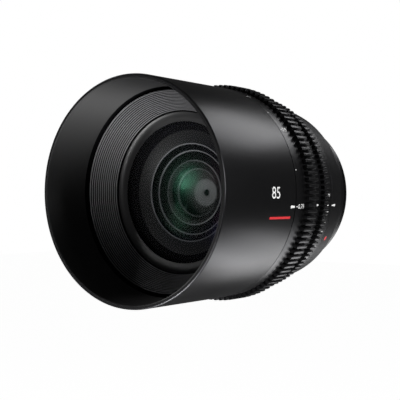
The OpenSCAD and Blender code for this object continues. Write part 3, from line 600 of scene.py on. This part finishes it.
focusSettings = {
    "outline": [(41.52, 49.3, 0), (43.68, 49.3, 0.05), (43.8, 49.42, 0.05), (43.8, 56.9, 0.1),
                (43.2, 57.0, 0), (43.2, 64.9, 0.1), (42.9, 67.0, 0.2), (39.27, 67.0, 0), (39.27, 50.85, 0),
                (41.52, 50.85, 0)],
    "tooth": {"rootR": 43.2, "tipR": 45.59, "rootHalf": 0.80, "tipHalf": 0.55, "s0": 56.7, "s1": 64.5,
              "rounding": 0.09},
    "teeth": 112, "seamS": 49.45,
}
focusRing = lathe("focusRing", focusSettings["outline"], [barrelBlack, cellBlack],
                  lambda r, s: 1 if s < focusSettings["seamS"] else 0)
joinMesh(focusRing, toothRow("focusTeeth", focusSettings))
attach(focusRing, "focus")
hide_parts("focus_ring")

irisSettings = {
    "outline": [(40.3, 67.3, 0), (41.07, 67.3, 0.08), (41.32, 67.55, 0.08), (41.32, 83.75, 0.08),
                (41.07, 84, 0.08), (39.65, 84, 0), (39.65, 72.05, 0), (40.3, 72.05, 0)],
    "tooth": {"rootR": 41.3, "tipR": 43.09, "rootHalf": 0.70, "tipHalf": 0.46, "s0": 74.1, "s1": 78.5,
              "rounding": 0.12},
    "teeth": 121,
}
irisRing = lathe("irisRing", irisSettings["outline"], [rearBlack])
joinMesh(irisRing, toothRow("irisTeeth", irisSettings))
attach(irisRing, "iris")
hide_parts("iris_ring")
print("rings and gears made")

ridgedSettings = {
    "outline": [(40.05, 22.25, 0.1), (40.25, 22.5, 0.1), (40.25, 33.3, 0), (35.37, 33.3, 0), (35.37, 32.4, 0),
                (32.8, 32.4, 0.08), (32.8, 31.75, 0.08), (33.1, 31.9, 0), (40.0, 22.43, 0)],
    "ridges": {"Count": 14, "First Radius": 39.72 * mm, "Last Radius": 33.18 * mm,
               "First Y": (22.46 - flangeS) * mm, "Last Y": (31.45 - flangeS) * mm, "Ridge Radius": 0.25 * mm},
    "lipR": 39.3, "lipS": 22.8,
}
# between the ridges the cone takes the darkest matt black, painted shade in the valleys; the ridges and the outer
# lip take the ridge finish
ridgedRing = lathe("ridgedRing", ridgedSettings["outline"], [cellBlack, ridgeBlack],
                   lambda r, s: 1 if r > ridgedSettings["lipR"] and s < ridgedSettings["lipS"] else 0)
joinMesh(ridgedRing, growMesh("ridges", [(0, 0, 0)], ridgeTree,
                              dict(ridgedSettings["ridges"], Finish=ridgeBlack)))
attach(ridgedRing, "optical_block")
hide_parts("ridged_front_ring")

# rings and steps round the glass: their rounder edges and the inner lip round the second element take a pale
# colour, a painted highlight that draws the thin bright circles
cellSettings = {
    "front_retaining_ring": ("frontRetainer", bezelBlack, [
        (32.4, 32.1, 0.05), (32.4, 33.98, 0), (30, 33.98, 0), (29.9, 33.92, 0), (28.6, 33.42, 0),
        (28.6, 33.25, 0.05), (29.8, 33.17, 0), (30.8, 33.0, 0), (31.6, 32.72, 0), (32.1, 32.42, 0)]),
    "second_retaining_ring": ("secondRetainer", coneBlack, [
        (25, 38, 0.12), (25, 40.68, 0), (20.5, 40.68, 0), (19.4, 40.05, 0), (19.4, 39.95, 0),
        (19.5, 39.82, 0), (19.75, 39.74, 0.1)]),
    "third_retaining_ring": ("thirdRetainer", ringBlack, [
        (13, 42.5, 0.3), (13, 43.58, 0), (12.6, 43.55, 0), (10.8, 43.15, 0.05), (10.8, 42.8, 0.15)]),
    "front_cell": ("frontCell", cellBlack, [
        (32.42, 32.55, 0), (33.58, 32.55, 0), (33.58, 45.4, 0), (19.98, 45.4, 0), (19.98, 47.2, 0),
        (10.7, 47.2, 0), (9.3, 45.6, 0.05), (9.3, 45.0, 0.35), (13.02, 45.0, 0), (13.02, 42.5, 0.05),
        (16.5, 42.5, 0.05), (16.5, 41.6, 0.4), (20.52, 41.6, 0), (20.52, 40.7, 0), (25.02, 40.7, 0),
        (25.02, 37.7, 0.12), (27.4, 37.3, 0.1), (27.4, 37.2, 0), (30.02, 37.2, 0), (30.02, 34.0, 0),
        (32.42, 34.0, 0)]),
}
# the inner lip round the second element, and corners rounder than this, take the painted highlight
highlightLip = {"innerR": 19.3, "outerR": 19.85, "backS": 40.1, "rounding": 0.25}


def cellFinish(r, s):
    return 1 if highlightLip["innerR"] < r < highlightLip["outerR"] and s < highlightLip["backS"] else 0


for nodeName, (pieceName, finish, outline) in cellSettings.items():
    piece = lathe(pieceName, outline, [finish, paleEdgeHighlight], cellFinish, sides=180, rubbed=highlightLip["rounding"])
    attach(piece, "optical_block")
    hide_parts(nodeName)
print("front cell made")


# marks: flat shapes (along the axis, round the ring, in mm) laid on a ring as thin paint; radius is a
# function of s; narrow strips follow the curve of the ring
paintSettings = {"strip": 0.4, "lifts": (0.02, -0.06), "capitalShare": 0.69}


def layMark(flatVerts, flatFaces, s, degrees, radius, store):
    shape = bmesh.new()
    made = [shape.verts.new((x, y, 0)) for x, y in flatVerts]
    for face in flatFaces:
        shape.faces.new([made[i] for i in face])
    bmesh.ops.remove_doubles(shape, verts=shape.verts, dist=1e-4)
    low, high = min(y for x, y in flatVerts), max(y for x, y in flatVerts)
    strip = paintSettings["strip"]
    for k in range(1, int((high - low) / strip) + 1):
        bmesh.ops.bisect_plane(shape, geom=shape.verts[:] + shape.edges[:] + shape.faces[:], dist=1e-5,
                               plane_co=(0, low + strip * k, 0), plane_no=(0, 1, 0))
    shape.verts.index_update()
    verts, faces = store
    base, count = len(verts), len(shape.verts)
    for lift in paintSettings["lifts"]:
        for v in shape.verts:
            at = radius(s + v.co.x)
            verts.append(place(at + lift, s + v.co.x, degrees + math.degrees(v.co.y / at)))
    for face in shape.faces:
        ids = [v.index + base for v in face.verts]
        faces.append(ids)
        faces.append([i + count for i in reversed(ids)])
        for loop in face.loops:
            if len(loop.edge.link_faces) == 1:
                a, b = loop.vert.index + base, loop.link_loop_next.vert.index + base
                faces.append([a, a + count, b + count, b])
    shape.free()


def layFigure(text, height, s, degrees, radius, store, upright=False):
    curve = bpy.data.curves.new("figure", "FONT")
    curve.body, curve.align_x, curve.align_y = text, "LEFT", "CENTER"
    curve.size = height / paintSettings["capitalShare"]
    curve.resolution_u = 4
    holder = bpy.data.objects.new("figure", curve)
    scene.collection.objects.link(holder)
    graph = bpy.context.evaluated_depsgraph_get()
    mesh = bpy.data.meshes.new_from_object(holder.evaluated_get(graph))
    # upright figures read round the ring
    flat = [(-v.co.y, v.co.x) if upright else (v.co.x, v.co.y) for v in mesh.vertices]
    layMark(flat, [list(p.vertices) for p in mesh.polygons], s, degrees, radius, store)
    bpy.data.objects.remove(holder)
    bpy.data.meshes.remove(mesh)
    bpy.data.curves.remove(curve)


def layBar(bar, degrees, radius, store):
    length, half, tipHalf = bar["length"], bar["width"] / 2, bar.get("tip", bar["width"]) / 2
    layMark([(0, -half), (length, -tipHalf), (length, tipHalf), (0, half)], [(0, 1, 2, 3)],
            bar["s"], degrees, radius, store)


def layDot(dot, radius, store, sides=24):
    angles = [k * 2 * math.pi / sides for k in range(sides)]
    layMark([(dot["size"] * math.cos(a), dot["size"] * math.sin(a)) for a in angles], [tuple(range(sides))],
            dot["s"], dot["degrees"], radius, store)


def paintedShape(name, store, finish):
    mesh = bpy.data.meshes.new(name)
    mesh.from_pydata(store[0], [], store[1])
    shape = bmesh.new()
    shape.from_mesh(mesh)
    bmesh.ops.recalc_face_normals(shape, faces=shape.faces)
    shape.to_mesh(mesh)
    shape.free()
    mesh.materials.append(finish)
    piece = bpy.data.objects.new(name, mesh)
    scene.collection.objects.link(piece)
    return piece


def markPiece(name, store, finish, body):
    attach(paintedShape(name, store, finish), body)


def tickRow(name, tick, angles, body):
    store = ([], [])
    layBar(tick, 0, tick["radius"], store)
    mesh = roundRow(name, paintedShape(name + "Shape", store, whitePaint), angles, whitePaint, whitePaint)
    piece = bpy.data.objects.new(name, mesh)
    scene.collection.objects.link(piece)
    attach(piece, body)


# radius of each surface that carries marks, in mm
def barrelR(s):
    return 44.0


def focusBandR(s):
    return 43.8 if s < 57 else 43.2 - 0.143 * (s - 64.9)


def toothTopR(s):
    return 45.6


def irisBandR(s):
    return 41.32


def rearBarrelR(s):
    return 41.02 - 0.1577 * (s - 84.55)


markSettings = {
    "indexAngle": -7.5,
    "number": {"text": "85", "height": 4.4, "s": 30.8, "degrees": -0.8},
    "frontIndex": {"length": 3.0, "width": 1.1, "tip": 0.7, "s": 45.4},
    "rearIndex": {"length": 4.2, "width": 0.4, "tip": 1.0, "s": 84.6},
    "redBar": {"length": 15.0, "width": 0.9, "s": 31.0, "degrees": -13.0},
    "redDot": {"size": 1.0, "s": 89.0, "degrees": -29.0},
    "toothMark": {"length": 1.4, "width": 1.0, "tip": 0.2, "s": 63.0, "tooth": -2},
    "focusFigures": {"0.79": 0, "0.9": 41.8, "1": 70, "1.2": 109.6, "1.5": 146, "2": 180, "3": 212, "5": 236,
                     "10": 253, "\u221e": 270},
    "focusFigure": {"height": 1.8, "s": 51.4},
    "focusTicks": [0, 18.9, 41.8, 54, 70, 90, 109.6, 128, 146, 163, 180, 196, 212, 224, 236, 245, 253, 262, 270],
    "focusTick": {"length": 0.9, "width": 0.3, "s": 50.0, "radius": focusBandR},
    "irisFigures": ["22", "16", "11", "8", "5.6", "4", "2.8", "2"],
    "irisFigure": {"height": 1.5, "s": 81.0, "ahead": 4.0},
    "irisStep": 72 / 7,
    "irisTick": {"length": 1.2, "width": 0.34, "s": 80.0, "radius": irisBandR},
}
indexAngle = markSettings["indexAngle"]

barrelWhite = ([], [])
number = markSettings["number"]
layFigure(number["text"], number["height"], number["s"], number["degrees"], barrelR, barrelWhite)
layBar(markSettings["frontIndex"], indexAngle, barrelR, barrelWhite)
layBar(markSettings["rearIndex"], indexAngle, rearBarrelR, barrelWhite)
markPiece("barrelMarks", barrelWhite, whitePaint, "barrel")
barrelRed = ([], [])
layBar(markSettings["redBar"], markSettings["redBar"]["degrees"], barrelR, barrelRed)
layDot(markSettings["redDot"], rearBarrelR, barrelRed)
markPiece("redMarks", barrelRed, redPaint, "barrel")

focusWhite = ([], [])
focusFigure, toothMark = markSettings["focusFigure"], markSettings["toothMark"]
for text, turn in markSettings["focusFigures"].items():
    layFigure(text, focusFigure["height"], focusFigure["s"], indexAngle + turn, focusBandR, focusWhite)
layBar(toothMark, toothMark["tooth"] * 360 / focusSettings["teeth"], toothTopR, focusWhite)
markPiece("focusFiguresRing", focusWhite, whitePaint, "focus")
tickRow("focusTicks", markSettings["focusTick"], [indexAngle + turn for turn in markSettings["focusTicks"]],
        "focus")

irisWhite = ([], [])
irisFigure = markSettings["irisFigure"]
irisAngles = [markSettings["irisStep"] * i for i in range(len(markSettings["irisFigures"]))]
for text, turn in zip(markSettings["irisFigures"], irisAngles):
    layFigure(text, irisFigure["height"], irisFigure["s"], indexAngle + irisFigure["ahead"] - turn, irisBandR,
              irisWhite, upright=True)
markPiece("irisFiguresRing", irisWhite, whitePaint, "iris")
tickRow("irisTicks", markSettings["irisTick"], [indexAngle - turn for turn in irisAngles], "iris")
print("marks made")
